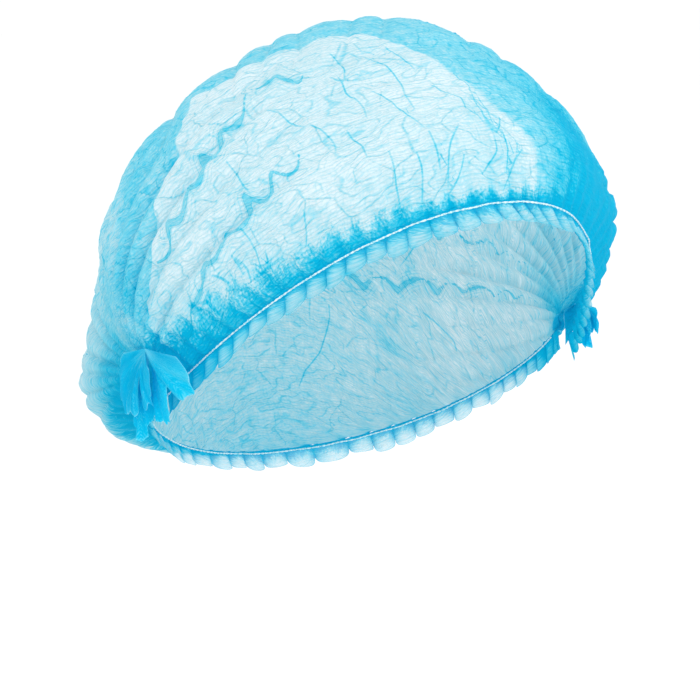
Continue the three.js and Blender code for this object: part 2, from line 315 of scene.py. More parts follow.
def polyline_gap(u, v, points):
    """Distance in the (u, v) plane to a line through points, its side, and how far along it is."""
    best = np.full(u.shape, 1e9)
    side = np.zeros(u.shape)
    along = np.zeros(u.shape)
    for number, ((u0, v0), (u1, v1)) in enumerate(zip(points[:-1], points[1:])):
        du, dv = u1 - u0, v1 - v0
        f = np.clip(((u - u0) * du + (v - v0) * dv) / (du * du + dv * dv), 0, 1)
        gap = np.hypot(u - u0 - f * du, v - v0 - f * dv)
        closer = gap < best
        side = np.where(closer, np.sign((u - u0) * dv - (v - v0) * du), side)
        along = np.where(closer, (number + f) / (len(points) - 1), along)
        best = np.minimum(best, gap)
    return best, side, along


# Meshes

# The fields that the cloth's material reads, and what each is where a piece doesn't set it:
# the tone of the cloth, what a second layer adds to it and how far that covers, nearness to a hem,
# distance to a zigzag crease and its width, distance to a thin crease and its strength.
CLOTH_FIELDS = dict(
    tone=0, layer=0, cover=-1, hem=-FAR, fold=FAR, fold_width=0, line=FAR, line_strength=0,
)


def mesh_object(name, points, faces):
    mesh = bpy.data.meshes.new(name)
    mesh.from_pydata(points, [], faces)
    mesh.polygons.foreach_set("use_smooth", np.ones(len(mesh.polygons), bool))
    mesh.update()
    obj = bpy.data.objects.new(name, mesh)
    bpy.context.scene.collection.objects.link(obj)
    return obj


def grid_mesh(name, points, breaks=(), **fields):
    """An open sheet through a grid of points, cut after some rows, with its cloth fields."""
    rows, columns = points.shape[:2]
    index = np.arange(rows * columns).reshape(rows, columns)
    quads = np.stack([index[:-1, :-1], index[:-1, 1:], index[1:, 1:], index[1:, :-1]], -1)
    quads = np.delete(quads, list(breaks), axis=0)
    obj = mesh_object(name, points.reshape(-1, 3).tolist(), quads.reshape(-1, 4).tolist())
    for label, values in {**CLOTH_FIELDS, **fields}.items():
        layer = obj.data.attributes.new(label, "FLOAT", "POINT")
        values = np.broadcast_to(values, points.shape[:2])
        layer.data.foreach_set("value", values.astype(np.float32).ravel())
    flow = obj.data.attributes.new("flow", "FLOAT_VECTOR", "POINT")
    flow.data.foreach_set("vector", cloth_flow(points).astype(np.float32).ravel())
    return obj


def run_length(points, axis):
    """Distances along one axis of a grid of points, from its first row or column."""
    steps = np.linalg.norm(np.diff(points, axis=axis), axis=-1).cumsum(axis)
    return np.insert(steps, 0, 0, axis=axis)


def cloth_flow(points):
    """Distances in metres along the rows and over them, as the cloth's own coordinates."""
    u = run_length(points, 1)
    u = u - u[:, u.shape[1] // 2][:, None]
    return np.stack([u, run_length(points, 0), np.zeros_like(u)], -1)


# The crown sheet


class CrownGrid:
    """The crown's grid of points, and the fields that its folds and creases add to."""

    def __init__(self):
        front = np.linspace(FRONT_ANGLE, CROWN_COARSER, CROWN_FRONT_ROWS)
        back = np.linspace(CROWN_COARSER, NAPE_ANGLE, CROWN_BACK_ROWS)[1:]
        even = np.linspace(-1, 1, CROWN_COLUMNS)
        self.angles = np.concatenate([front, back])
        self.columns = 0.72 * even + 0.28 * np.sin(even * np.pi / 2)
        self.angle, self.across = np.meshgrid(self.angles, self.columns, indexing="ij")
        self.point = sheet_point(self.angle, self.across)
        self.radius = np.hypot(self.point[..., 1], self.point[..., 2]) / MM
        u = run_length(self.point, 1) / MM
        self.u = u - u[:, u.shape[1] // 2][:, None]
        self.v = self.angle * math.pi / 180 * self.radius
        shape = self.angle.shape
        self.lift, self.tone = np.zeros(shape), np.zeros(shape)
        self.hem, self.calm = np.full(shape, -FAR), np.ones(shape)
        self.fold, self.fold_width = np.full(shape, FAR), np.zeros(shape)
        self.line, self.line_strength = np.full(shape, FAR), np.zeros(shape)


def pleat_depth(across):
    shoulder = np.sin(np.pi * np.minimum(np.abs(across), 1) ** 1.4) ** 2
    return (0.8 + 2.1 * shoulder) * (1 - smooth(0.74, 0.99, np.abs(across)))


def pleats(angle, across):
    """The long pleats that run from gather to gather: broad ridges between narrow valleys."""
    wander = 2.4 * soft_noise(across * 3 + 7, angle / 40, 21)
    wander = wander + 1.0 * soft_noise(across * 9, angle / 14, 22)
    turn = np.pi * (angle + wander * (1 - smooth(0.6, 0.95, np.abs(across)))) / PLEAT_PITCH
    uneven = 0.75 + 0.45 * soft_noise(angle / 9, across * 2, 23)
    wave = 1.8 * np.abs(np.cos(turn)) ** 0.8 - 1.2
    inside = smooth(FRONT_ANGLE + 5, FRONT_ANGLE + 20, angle) * (1 - smooth(206, 217, angle))
    return wave * uneven * inside


def top_lobes(angle, across):
    """Broad rounded lobes across the top, with narrow dips between them, in millimetres."""
    centre, place, depth = TOP_DIPS.T
    shifted = across - TOP_DIP_SLANT * (angle - np.interp(across, place, centre))
    shifted = shifted + 0.006 * soft_noise(angle / 7, across * 6, 24)
    i = np.clip(np.searchsorted(place, shifted) - 1, 0, len(place) - 2)
    f = np.clip((shifted - place[i]) / (place[i + 1] - place[i]), 0, 1)
    arch = np.sqrt(4 * f * (1 - f))
    deep = depth[i] + (depth[i + 1] - depth[i]) * f
    middle = np.interp(across, place, centre)
    near = np.exp(-(((angle - middle) / TOP_DIP_SPREAD) ** 2))
    ends = smooth(-0.72, -0.62, across) * (1 - smooth(0.62, 0.72, across))
    return deep * (arch - 0.50) * near * ends * smooth(FRONT_ANGLE + 2, FRONT_ANGLE + 12, angle)


def zoned(value, amounts, zones):
    """The value with each named zone added, times its amount."""
    for name, amount in amounts.items():
        value = value + amount * zones[name]
    return value


def layer_zones(angle, across, beyond, ragged):
    """The zones of the second layer, by how far each point lies beyond the single layer."""
    right = smooth(0.30, 0.50, -across)
    middle = 1 - smooth(0.35, 0.62, np.abs(across))
    return dict(
        left_front=smooth(0.02, 0.34, across) * (1 - smooth(70, 110, angle)),
        deep=smooth(0.12, 0.32, across) * (1 - smooth(52, 74, angle)),
        strip=smooth(4, 11, beyond) * (1 - smooth(17, 27, beyond)) * right,
        rim=smooth(20, 30, beyond) * right + smooth(14, 26, beyond) * smooth(0.02, 0.20, across),
        border=(1 - smooth(3, 5, beyond + 2 * ragged)) * right,
        back=smooth(125, 150, angle) * middle,
        right=right,
        top=middle * (1 - smooth(0.00, 0.20, across)) * (1 - smooth(125, 150, angle)),
        left_side=smooth(0.30, 0.42, across) * smooth(43, 50, angle),
    )


def single_zones(angle, across):
    """The zones of a single layer, which is darker where the cloth is drawn together."""
    side = np.abs(across)
    core = smooth(0.73, 0.84, side + 0.03 * soft_noise(angle / 7, across * 9, 73))
    core = core * smooth(140, 165, angle)
    nape = smooth(0.40, 0.60, side) * smooth(210, 220, angle) * (1 - core)
    return dict(
        shoulder=smooth(0.62, 0.80, side), root=smooth(0.84, 0.97, side), core=core, nape=nape
    )


def pale_and_layered(angle, across):
    """The pale tone of a single layer, what a second layer adds, and how far it covers."""
    limit = np.interp(across, PALE_EDGE[:, 0], PALE_EDGE[:, 1], left=36, right=30)
    ragged = 1.6 * soft_noise(across * 12, angle / 9, 71)
    ragged = ragged + 0.9 * soft_noise(across * 40, angle / 4, 72)
    beyond = angle - limit + ragged
    softness = 0.5 + 9 * smooth(-0.05, 0.10, across)
    layer = zoned(LAYER_TONE, LAYER_ZONES, layer_zones(angle, across, beyond, ragged))
    tone = zoned(SINGLE_TONE, SINGLE_ZONES, single_zones(angle, across))
    return tone, layer, beyond / softness


def gather_phase(edge, across):
    place = (across / EDGE_REACH + 1) / 2
    jitter = 0.28 * soft_noise(across * 9, 0, edge["seed"])
    return 2 * np.pi * edge["gathers"] * (place + jitter / edge["gathers"])


def hem_gathers(edge, angle, across, radius):
    """Gathers that fade with distance from a gathered edge, in (-1, 1), and their strength."""
    away = np.abs(angle - edge["angle"]) * math.pi / 180 * radius
    phase = gather_phase(edge, across)
    place = (across / EDGE_REACH + 1) / 2
    tall = 0.55 + 0.45 * soft_noise(place * edge["gathers"] * 0.9, 0, edge["seed"] + 40)
    fade = np.exp(-away / (9 + 11 * np.clip(tall, 0, 1)))
    wave = np.cos(phase) + 0.35 * np.cos(2 * phase + 1.3) * np.exp(-away / 6)
    return wave, fade, away


def crease_points(crease, seed):
    """The angle and across values along a crease: a bowed line of cusps and round bays."""
    f = np.linspace(0, 1, TOOTH_STEPS * crease["teeth"] + 1)
    place = f * crease["teeth"]
    angle = np.interp(f, (0, 1), (crease["start"][0], crease["end"][0]))
    across = np.interp(f, (0, 1), (crease["start"][1], crease["end"][1]))
    turn = np.pi * (place + 0.22 * soft_noise(place, 0, seed))
    tooth = 1 - 2 * np.abs(np.sin(turn)) ** 0.8
    size = 1 + 0.5 * soft_noise(place + 3, 0, seed)
    drift = 0.8 * crease["zig"] * soft_noise(place / 2, 5, seed)
    angle = angle + crease["bow"] * np.sin(np.pi * f) + crease["zig"] * tooth * size + drift
    return angle, across


def thin_crease_points(start, end, bow, kink, stretches, seed):
    """The angle and across values along a thin crease: straight stretches with kinks between."""
    f = np.linspace(0, 1, TOOTH_STEPS * stretches + 1)
    kinks = np.random.default_rng(seed).uniform(-1, 1, stretches + 1)
    kinks[[0, -1]] = 0
    aside = bow * np.sin(np.pi * f) + kink * np.interp(f * stretches, range(stretches + 1), kinks)
    over = (end[0] - start[0]) * DEGREE_SPAN
    along = (end[1] - start[1]) * ACROSS_SPAN
    length = math.hypot(over, along)
    angle = start[0] + f * (end[0] - start[0]) + aside * along / length / DEGREE_SPAN
    across = start[1] + f * (end[1] - start[1]) - aside * over / length / ACROSS_SPAN
    return angle, across


def add_root_folds(grid):
    """Soft folds that run out of each side gather, with painted shade in their valleys. Gives how near
    each point is to one.
    """
    side = np.abs(grid.across)
    near_root = smooth(0.62, 0.88, side) * (1 - smooth(0.965, 1.0, side))
    wander = 3.0 * soft_noise(grid.across * 14, grid.angle / 12, 31)
    turn = np.pi * (grid.angle + wander) / ROOT_FOLD_PITCH
    uneven = 0.5 + 0.8 * soft_noise(grid.angle / 8, grid.across * 5, 32)
    fan = 1 - 2 * np.abs(np.sin(turn)) * uneven
    grid.lift += 0.6 * near_root * fan * np.minimum(grid.radius / 22, 1)
    # Painted shade: darker in the valleys of these folds.
    grid.tone += 0.10 * near_root * np.clip(-fan, 0, 1)
    return near_root


def add_hem_gathers(grid, edge):
    """The gathers beside a hem, painted shade in their valleys and the band where the cloth is doubled.
    """
    across = grid.across
    gather, fade, away = hem_gathers(edge, grid.angle, across, grid.radius)
    ends = 1 - smooth(0.8, EDGE_REACH, np.abs(across))
    grid.lift += GATHER_DEPTH * gather * fade * (0.3 + 0.7 * ends)
    tall = HEM_BAND + 1.2 * soft_noise(across * 21, 0, edge["seed"] + 50)
    tall = tall - 0.9 * np.clip(gather, -1, 1) - 2.8 * smooth(-0.35, 0.0, across)
    tall = tall + 2.2 * (1 - smooth(-0.62, -0.42, across))
    grid.hem = np.maximum(grid.hem, 1 - away / np.maximum(tall, 1.5))
    # Painted shade: darker in the gathers' valleys, deeper on the wearer's left half, and a little
    # darker towards the hem.
    streak = np.clip(-gather, 0, 1.2) ** 1.5
    painted_valley_shade = 0.12 + 0.16 * smooth(-0.3, 0.0, across)
    grid.tone += 0.05 * np.exp(-away / 12) + painted_valley_shade * streak * np.exp(-away / 7)
    grid.calm *= smooth(0, 9, away)


def near_crease(grid, line_angle, line_across):
    """Which points lie near a crease, their distance to it, their side and how far along it."""
    line = sheet_point(line_angle, line_across)
    middle = line.mean(0)
    span = np.linalg.norm(line - middle, axis=1).max() + CREASE_MARGIN
    near = np.linalg.norm(grid.point - middle, axis=-1) < span
    scale = math.pi / 180 * np.hypot(line[:, 1], line[:, 2]).mean() / MM
    row = np.argmin(np.abs(grid.angles - line_angle.mean()))
    points = list(zip(np.interp(line_across, grid.columns, grid.u[row]), line_angle * scale))
    return near, *polyline_gap(grid.u[near], grid.angle[near] * scale, points)


def add_crease(grid, crease, number):
    """A zigzag ridge with a step across it, and the distance to it for the material."""
    near, gap, side, along = near_crease(grid, *crease_points(crease, number))
    swell = 0.74 + 0.4 * soft_noise(along * 3 * crease["teeth"], 0, number + 100)
    width = crease["wide"] * swell * np.sin(np.pi * np.clip(along, 0.02, 0.98)) ** 0.4
    height = 0.5 + 0.2 * crease["wide"]
    step = 0.30 * side * np.sin(np.pi * along)
    grid.lift[near] += height * (0.5 * np.exp(-gap / 0.9) + step * np.exp(-gap / 3.0))
    grid.tone[near] += 0.012 * crease["wide"] * np.exp(-gap / 4)
    closer = gap < grid.fold[near]
    grid.fold[near] = np.where(closer, gap, grid.fold[near])
    grid.fold_width[near] = np.where(closer, width, grid.fold_width[near])


def add_thin_crease(grid, row, number):
    """A low ridge, with the signed distance to it, so that it stays unbroken on the grid."""
    near, gap, side, along = near_crease(grid, *thin_crease_points(*row, seed=number + 200))
    ends = np.sin(np.pi * along)
    grid.lift[near] += 0.32 * np.exp(-gap / 0.9) + 0.20 * side * ends * np.exp(-gap / 3.0)
    grid.tone[near] += 0.03 * ends * np.exp(-gap / 3.5)
    closer = (gap < np.abs(grid.line[near])) & (ends > 0.02)
    grid.line[near] = np.where(closer, gap * side, grid.line[near])
    strength = (0.75 + 0.25 * soft_noise(along * 5, 0, number)) * ends**0.3
    strength = strength * (gap < THIN_REACH)
    grid.line_strength[near] = np.where(closer, strength, grid.line_strength[near])


def add_crumpling(grid, flat_cloth):
    """Crumpling at three sizes, where the cloth is flat: tilted cells with low ridges between."""
    for size_u, size_v, height, seed in CRUMPLES:
        u, v = grid.u / size_u, grid.v / size_v
        warp_u = grid.u + 0.3 * size_u * soft_noise(u, v, seed + 9)
        warp_v = grid.v + 0.3 * size_v * soft_noise(u, v, seed + 19)
        gap, tilt = crumple(warp_u / size_u, warp_v / size_v, seed)
        grid.lift += height * flat_cloth * (tilt + 0.35 * np.exp(-gap / 0.13))


def build_crown():
    grid = CrownGrid()
    side = np.abs(grid.across)
    wave = pleats(grid.angle, grid.across)
    lobes = top_lobes(grid.angle, grid.across)
    puff = np.exp(
        -(((grid.angle - PUFF_PLACE[0]) / PUFF_SPREAD[0]) ** 2)
        - ((side - PUFF_PLACE[1]) / PUFF_SPREAD[1]) ** 2
    )
    tone, layer, cover = pale_and_layered(grid.angle, grid.across)
    grid.lift += wave * pleat_depth(grid.across) * (1 - 0.5 * puff)
    grid.lift += 2.3 * lobes
    grid.lift += PUFF_HEIGHT * puff
    grid.tone += tone
    # Painted light: the puff is paler where it bulges out.
    grid.tone -= 0.06 * puff
    # Painted shade: darker in the deepest dips between the top lobes.
    grid.tone += 0.05 * np.clip(-lobes - 0.4, 0, 1)
    # Painted shade: darker in the pleats' valleys towards the sides.
    grid.tone += 0.07 * np.clip(-wave, 0, 1) * smooth(0.3, 0.8, side)
    near_root = add_root_folds(grid)
    for edge in (FRONT_EDGE, NAPE_EDGE):
        add_hem_gathers(grid, edge)
    for number, crease in enumerate(CREASES.values()):
        add_crease(grid, crease, number)
    for number, row in enumerate(THIN_CREASES):
        add_thin_crease(grid, row, number)
    add_crumpling(grid, grid.calm * (1 - 0.5 * near_root))
    grid.tone += 0.03 * soft_noise(grid.u / 22, grid.v / 16, 61)
    normal = sheet_normal(grid.angle, grid.across)
    return grid_mesh(
        "crown_sheet", grid.point + normal * (grid.lift * MM)[..., None], tone=grid.tone,
        layer=layer, cover=cover, hem=grid.hem, fold=grid.fold, fold_width=grid.fold_width,
        line=grid.line, line_strength=grid.line_strength,
    )


# Ruffles and threads


def build_ruffle(edge):
    columns = np.linspace(-EDGE_REACH, EDGE_REACH, RUFFLE_STEPS * edge["gathers"])
    shares = np.linspace(-RUFFLE_TUCK, 1, RUFFLE_STEPS)
    share, across = np.meshgrid(shares, columns, indexing="ij")
    point, along, down, out = edge_frame(edge, across)
    phase = gather_phase(edge, across)
    spread = np.clip(share, 0, 1)
    size = 1 + 0.20 * soft_noise(across * 17, 0, edge["seed"] + 5)
    ends = 1 - 0.5 * smooth(0.85, EDGE_REACH, np.abs(across))
    lobe = np.abs(np.cos(phase / 2)) ** 0.7
    drop = RUFFLE_DROP * share * size * (1 - 0.55 * spread * (1 - lobe**0.6))
    lift = ends * (0.7 * GATHER_DEPTH + 0.8 * spread**0.8) * (2 * lobe - 1) + 0.6 * spread
    slant = edge["slant"] * smooth(-0.3, 0.1, across) * (1 - smooth(0.3, 0.6, across))
    meander = spread * (1.3 * np.sin(phase) + slant)
    frill = 0.3 * spread * soft_noise(across * 90, share * 4, edge["seed"] + 6)
    points = point + MM * (
        down * drop[..., None] + out * (lift + frill)[..., None] + along * meander[..., None]
    )
    # Painted shade: the valleys zone darkens the ruffle between its lobes.
    tone = zoned(RUFFLE_TONE, RUFFLE_ZONES, dict(
        valleys=(1 - lobe) ** 0.8,
        rim=np.exp(-(1 - spread) / 0.05),
        ends=smooth(0.60, 0.9, np.abs(across)),
        specks=soft_noise(across * 60, share * 3, 8),
    ))
    reach = 0.52 + 0.22 * soft_noise(across * 40, 0, 12)
    clear = 0.50 * spread * lobe * (1 - smooth(0.55, 0.8, np.abs(across)))
    return grid_mesh(
        f"{edge['name']}_ruffle_sheet", points, tone=tone, hem=1 - share / reach, clear=clear,
    )


def build_thread(edge):
    """Two strands twisted about each other along the seam, joined in one mesh."""
    steps, sides = THREAD_STEPS, THREAD_SIDES
    across = np.linspace(-edge["thread"], edge["thread"], steps)
    point, along, down, out = edge_frame(edge, across)
    length = np.pad(np.linalg.norm(np.diff(point, axis=0), axis=1).cumsum(), (1, 0)) / MM
    sway = THREAD_SWAY * soft_noise(length / 7, 0, edge["seed"] + 70)
    core = point + MM * (
        out * (THREAD_STAND_OFF + sway)[:, None] + down * (THREAD_DROP + 0.5 * sway)[:, None]
    )
    spin = 2 * np.pi * (length / THREAD_TWIST + 0.3 * soft_noise(length / 13, 0, 5))
    thick = THREAD_STRAND * (1 + 0.25 * soft_noise(length / 1.7, 0, 6))
    turn = np.linspace(0, 2 * np.pi, sides, endpoint=False)
    points, faces = [], []
    for start in (0, np.pi):
        offset = out * np.cos(spin + start)[:, None] + down * np.sin(spin + start)[:, None]
        centre = core + MM * (0.8 * THREAD_STRAND) * offset
        ring = out[:, None] * np.cos(turn)[:, None] + down[:, None] * np.sin(turn)[:, None]
        index = len(points) * steps * sides + np.arange(steps * sides).reshape(steps, sides)
        wrapped = np.roll(index, -1, axis=1)
        quads = np.stack([index[:-1], wrapped[:-1], wrapped[1:], index[1:]], -1).reshape(-1, 4)
        faces += quads.tolist() + [index[0][::-1].tolist(), index[-1].tolist()]
        points.append((centre[:, None] + MM * ring * thick[:, None, None]).reshape(-1, 3))
    return mesh_object(f"{edge['name']}_thread", np.concatenate(points).tolist(), faces)


# Side gathers

# The leaves of a side gather, by name: the way it points in degrees from straight down
# towards +Y, half its spread, its length, how far it starts and ends out, how round it bulges,
# how much shorter its far edge is and its frills.
LEAVES = {
    "under_front": dict(turn=-34, half=26, length=32, near=0.0, far=0.0, dome=2.0, skew=0.0, frills=3),
    "under_back": dict(turn=6, half=24, length=36, near=0.3, far=3.0, dome=2.0, skew=0.0, frills=4),
    "back_petal": dict(turn=29, half=32, length=26, near=1.2, far=6.0, dome=5.0, skew=0.22, frills=1),
    "middle_petal": dict(turn=-4, half=18, length=28, near=2.2, far=6.0, dome=4.2, skew=0.0, frills=1),
    "front_petal": dict(turn=-30, half=17, length=25, near=2.8, far=4.0, dome=4.0, skew=0.0, frills=2),
    "front_flap": dict(turn=-62, half=18, length=33, near=3.4, far=-4.5, dome=3.4, skew=0.25, frills=1),
}
LEAF_ROWS = 36
LEAF_COLUMNS = 44
LEAF_TONE = 0.74
# What the leaves' zones add to their tone: folds is painted light and shade, paler where a leaf bulges
# out, and rim a painted highlight along its edges.
LEAF_ZONES = dict(number=-0.022, neck=-0.20, streaks=0.07, folds=-0.12, rim=-0.26)

# The two side gathers: which side of the cap, how large and how turned the leaves are, their
# shift outwards, back and up, and the flat size of the cloth.
GATHERS = (
    dict(name="right", side=-1, size=1.0, twist=1.0, shift=(1.5, -9.0, 7.0), seed=81,
         flat=(0.050, 0.040)),
    dict(name="left", side=1, size=0.62, twist=-0.5, shift=(-1.2, -4.5, 3.7), seed=91,
         flat=(0.028, 0.020)),
)


def build_gather(gather):
    """Leaves of folded cloth, one over another, joined in one mesh of open sheets."""
    share, across = np.meshgrid(
        np.linspace(0, 1, LEAF_ROWS), np.linspace(-1, 1, LEAF_COLUMNS), indexing="ij"
    )
    out_shift, back_shift, up_shift = gather["shift"]
    seed = gather["seed"]
    grids, tones = [], []
    for number, leaf in enumerate(LEAVES.values()):
        frill = np.cos(np.pi * leaf["frills"] * across + number)
        ragged = soft_noise(across * 4, 0, seed + number)
        teeth = soft_noise(across * 11, 0, seed + 10 + number)
        tip = 1 - 0.52 * np.abs(across) ** 3 + 0.02 * frill + 0.05 * ragged + 0.03 * teeth
        tip = gather["size"] * leaf["length"] * tip * (1 - leaf["skew"] * across)
        reach = LEAF_NECK + share * (tip - LEAF_NECK)
        turn = leaf["turn"] + leaf["half"] * across * (0.3 + 0.7 * share**0.5)
        out = leaf["near"] + (leaf["far"] - leaf["near"]) * share
        out = out + leaf["dome"] * (1 - across**2) * np.sin(0.8 * np.pi * share)
        folds = soft_noise(across * 3.1, share * 0.8, seed + 30 + number)
        out = out + share * (0.9 * frill + 1.6 * folds)
        out = out + 0.4 * share * soft_noise(across * 5, share * 4, seed + 20 + number)
        direction = np.radians(gather["twist"] * turn)
        grids.append(MM * np.stack([
            gather["side"] * (HALF_SPAN + LEAF_STAND_OFF + out_shift + out),
            back_shift + reach * np.sin(direction),
            up_shift + LEAF_TOP - reach * np.cos(direction),
        ], -1))
        streak = soft_noise(across * 5, share * 1.2, seed + 40 + number)
        rim = np.exp(-(1 - share) / 0.022) + share * np.exp(-(1 - np.abs(across)) / 0.035)
        # Painted light on the leaves: paler where their folds bulge out, and painted highlights along
        # their rims.
        tones.append(zoned(LEAF_TONE, LEAF_ZONES, dict(
            number=number,
            neck=1 - smooth(0.05, 0.40, share),
            streaks=streak,
            folds=folds * share,
            rim=np.minimum(rim, 1),
        )))
    points = np.concatenate(grids)
    breaks = range(LEAF_ROWS - 1, len(points) - 1, LEAF_ROWS)
    name = f"{gather['name']}_gather_leaves"
    return grid_mesh(name, points, breaks, tone=np.concatenate(tones))


# Materials

# The tone scale from pale to deep; its near-white first stop gives painted highlights where the marks
# take the shade down to zero.
TONE_COLOURS = [
    (0.00, (0.900, 0.955, 0.970)),
    (0.12, (0.640, 0.835, 0.880)),
    (0.34, (0.260, 0.725, 0.855)),
    (0.52, (0.085, 0.625, 0.815)),
    (0.70, (0.004, 0.535, 0.775)),
    (0.86, (0.000, 0.440, 0.730)),
    (1.00, (0.000, 0.310, 0.650)),
]

# How much each mark deepens the tone of the cloth, and how high it stands in the bumps
MARK_DEPTHS = dict(
    grain=0.25, crests=0.08, lines=0.18, fine_lines=0.06, curls=0.16, ribbons=0.32, beside=0.11,
    thin=0.34, band=0.53,
)
MARK_HEIGHTS = dict(waves=0.5, fibres=0.35, lines=0.8, curls=0.5, ribbons=0.7)
DEEPEST_TONE = 0.78
# How far the crinkles are bent aside, in metres along and over the cloth
WARP = (0.006, 0.006, 0.0)
BUMP_DISTANCE = 0.0008
TRANSLUCENCE = 0.35
THREAD_COLOURS = [(0.36, (0.22, 0.68, 0.80)), (0.56, (0.78, 0.90, 0.91))]
FLOOR_COLOURS = [(0.0, (0.9603, 0.9603, 0.9603)), (1.0, (0.97, 0.97, 0.97))]


class Shader:
    """Short calls that add nodes to one new material and join them up."""

    def __init__(self, name):
        self.material = bpy.data.materials.new(name)
        self.material.use_nodes = True
        self.nodes = self.material.node_tree.nodes
        self.links = self.material.node_tree.links
        self.nodes.clear()

    def feed(self, socket, value):
        if isinstance(value, (int, float, tuple)):
            socket.default_value = value
        else:
            self.links.new(value, socket)

    def node(self, kind, *values, settings=(), **named):
        """A new node, its sockets fed in order or by name, with underscores for spaces."""
        node = self.nodes.new(f"ShaderNode{kind}")
        for name, value in dict(settings).items():
            setattr(node, name, value)
        for socket, value in zip(node.inputs, values):
            self.feed(socket, value)
        for name, value in named.items():
            self.feed(node.inputs[name.replace("_", " ")], value)
        return node

    def math(self, operation, *values):
        return self.node("Math", *values, settings=dict(operation=operation)).outputs[0]

    def plus(self, first, second):
        return self.math("ADD", first, second)

    def minus(self, first, second):
        return self.math("SUBTRACT", first, second)

    def times(self, first, *others):
        for other in others:
            first = self.math("MULTIPLY", first, other)
        return first

    def rise(self, value, low, high):
        """From 0 where the value is low to 1 where it is high."""
        settings = dict(interpolation_type="SMOOTHSTEP")
        node = self.node("MapRange", settings=settings, Value=value, From_Min=low, From_Max=high)
        return node.outputs["Result"]

    def fall(self, value, low, high):
        return self.minus(1.0, self.rise(value, low, high))

    def marked(self, value, marks, amounts):
        """The value with each mark added, times its amount."""
        for name, amount in amounts.items():
            value = self.plus(value, self.times(marks[name], amount))
        return value

    def field(self, name, output="Fac"):
        return self.node("Attribute", settings=dict(attribute_name=name)).outputs[output]

    def stretched(self, vector, scale):
        return self.node("Mapping", Vector=vector, Scale=scale).outputs["Vector"]

    def texture(self, kind, vector, output=0, **named):
        return self.node(f"Tex{kind}", Vector=vector, **named).outputs[output]

    def ramp(self, value, colours):
        node = self.node("ValToRGB", value)
        elements = node.color_ramp.elements
        while len(elements) < len(colours):
            elements.new(0.5)
        for element, (place, colour) in zip(elements, colours):
            element.position = place
            element.color = (*colour, 1)
        return node.outputs["Color"]

    def finish(self, shader):
        self.node("OutputMaterial", Surface=shader.outputs[0])
        return self.material


def crinkle_marks(make, flow):
    """Marks all over the cloth: fibres, bonding dots, fine waves, creased cells and curls."""
    drift = make.texture("Noise", flow, "Color", Scale=60.0, Detail=2.0)
    bent = make.node("VectorMath", drift, WARP, flow, settings=dict(operation="MULTIPLY_ADD"))
    warped = bent.outputs[0]
    halved = make.stretched(warped, (0.5, 1.0, 1.0))

    fibres = make.texture("Noise", make.stretched(flow, (0.7, 1.2, 1.0)), Scale=1300.0,
                          Detail=3.0, Roughness=0.7, Distortion=1.5)
    waves = make.texture("Wave", halved, "Fac", settings=dict(bands_direction="Y"), Scale=230.0,
                         Distortion=14.0, Detail=3.0, Detail_Scale=0.5, Detail_Roughness=0.65)
    patches = make.texture("Noise", flow, Scale=75.0, Detail=2.0)
    borders = dict(feature="DISTANCE_TO_EDGE")
    cells = make.texture("Voronoi", make.stretched(warped, (0.8, 1.0, 1.0)), "Distance",
                         settings=borders, Scale=70.0)
    fine_cells = make.texture("Voronoi", make.stretched(warped, (0.6, 1.2, 1.0)), "Distance",
                              settings=borders, Scale=240.0)
    dots = make.texture("Voronoi", flow, "Distance", Scale=760.0, Randomness=0.6)
    hills = make.texture("Noise", halved, Scale=55.0, Detail=2.0, Roughness=0.4)

    contours = make.math("ABSOLUTE", make.math("SINE", make.times(hills, 42.0)))
    return dict(
        grain=make.minus(fibres, 0.5),
        fibres=fibres,
        dots=dots,
        waves=waves,
        crests=make.rise(waves, 0.55, 1.0),
        lines=make.times(make.fall(cells, 0.0, 0.028), make.rise(patches, 0.42, 0.62)),
        fine_lines=make.fall(fine_cells, 0.0, 0.08),
        curls=make.times(make.fall(contours, 0.0, 0.45), make.fall(patches, 0.45, 0.65)),
    )


def crease_marks(make):
    """Zigzag creases as ribbons with darker rims, ripples beside the wide ones, thin creases."""
    wide = make.field("fold_width")
    past = make.minus(make.field("fold"), make.times(wide, 0.5))
    rims = make.fall(make.math("ABSOLUTE", past), 0.1, 0.5)
    ribbons = make.times(make.fall(past, -0.10, 0.14), make.plus(0.70, make.times(rims, 0.30)))
    ripples = make.rise(make.math("SINE", make.times(past, 4.4)), 0.2, 1.0)
    thin = make.fall(make.math("ABSOLUTE", make.field("line")), 0.12, 0.55)
    return dict(
        ribbons=make.times(ribbons, make.rise(wide, 0.1, 0.4)),
        beside=make.times(
            ripples, make.rise(past, 0.0, 0.2), make.fall(past, 1.5, 6.0), make.rise(wide, 0.9, 1.6)
        ),
        thin=make.times(thin, make.field("line_strength")),
    )


def hem_band(make, flow):
    """The band of doubled cloth at a hem, with a ragged and clumpy border."""
    spikes = make.texture("Noise", make.stretched(flow, (1.0, 0.7, 1.0)), Scale=1100.0, Detail=2.0)
    clumps = make.texture("Noise", make.stretched(flow, (1.0, 0.5, 1.0)), Scale=230.0, Detail=2.0)
    shaken = make.times(make.minus(spikes, 0.5), 1.3)
    shaken = make.plus(shaken, make.times(make.minus(clumps, 0.5), 1.4))
    return make.rise(make.plus(make.field("hem"), shaken), 0.0, 0.95)


def ground_tone(make, flow, dots):
    """The cloth's own tone, with its second layer where that covers it, mottled and dotted."""
    covered = make.rise(make.field("cover"), -0.5, 0.5)
    ground = make.plus(make.field("tone"), make.times(make.field("layer"), covered))
    blotches = make.texture("Noise", flow, Scale=210.0, Detail=2.0, Roughness=0.6)
    mottled = make.times(make.minus(blotches, 0.5), make.times(covered, 0.34))
    ground = make.plus(ground, mottled)
    dotted = make.plus(0.10, make.times(ground, 0.30))
    return make.plus(ground, make.times(make.minus(dots, 0.45), dotted))


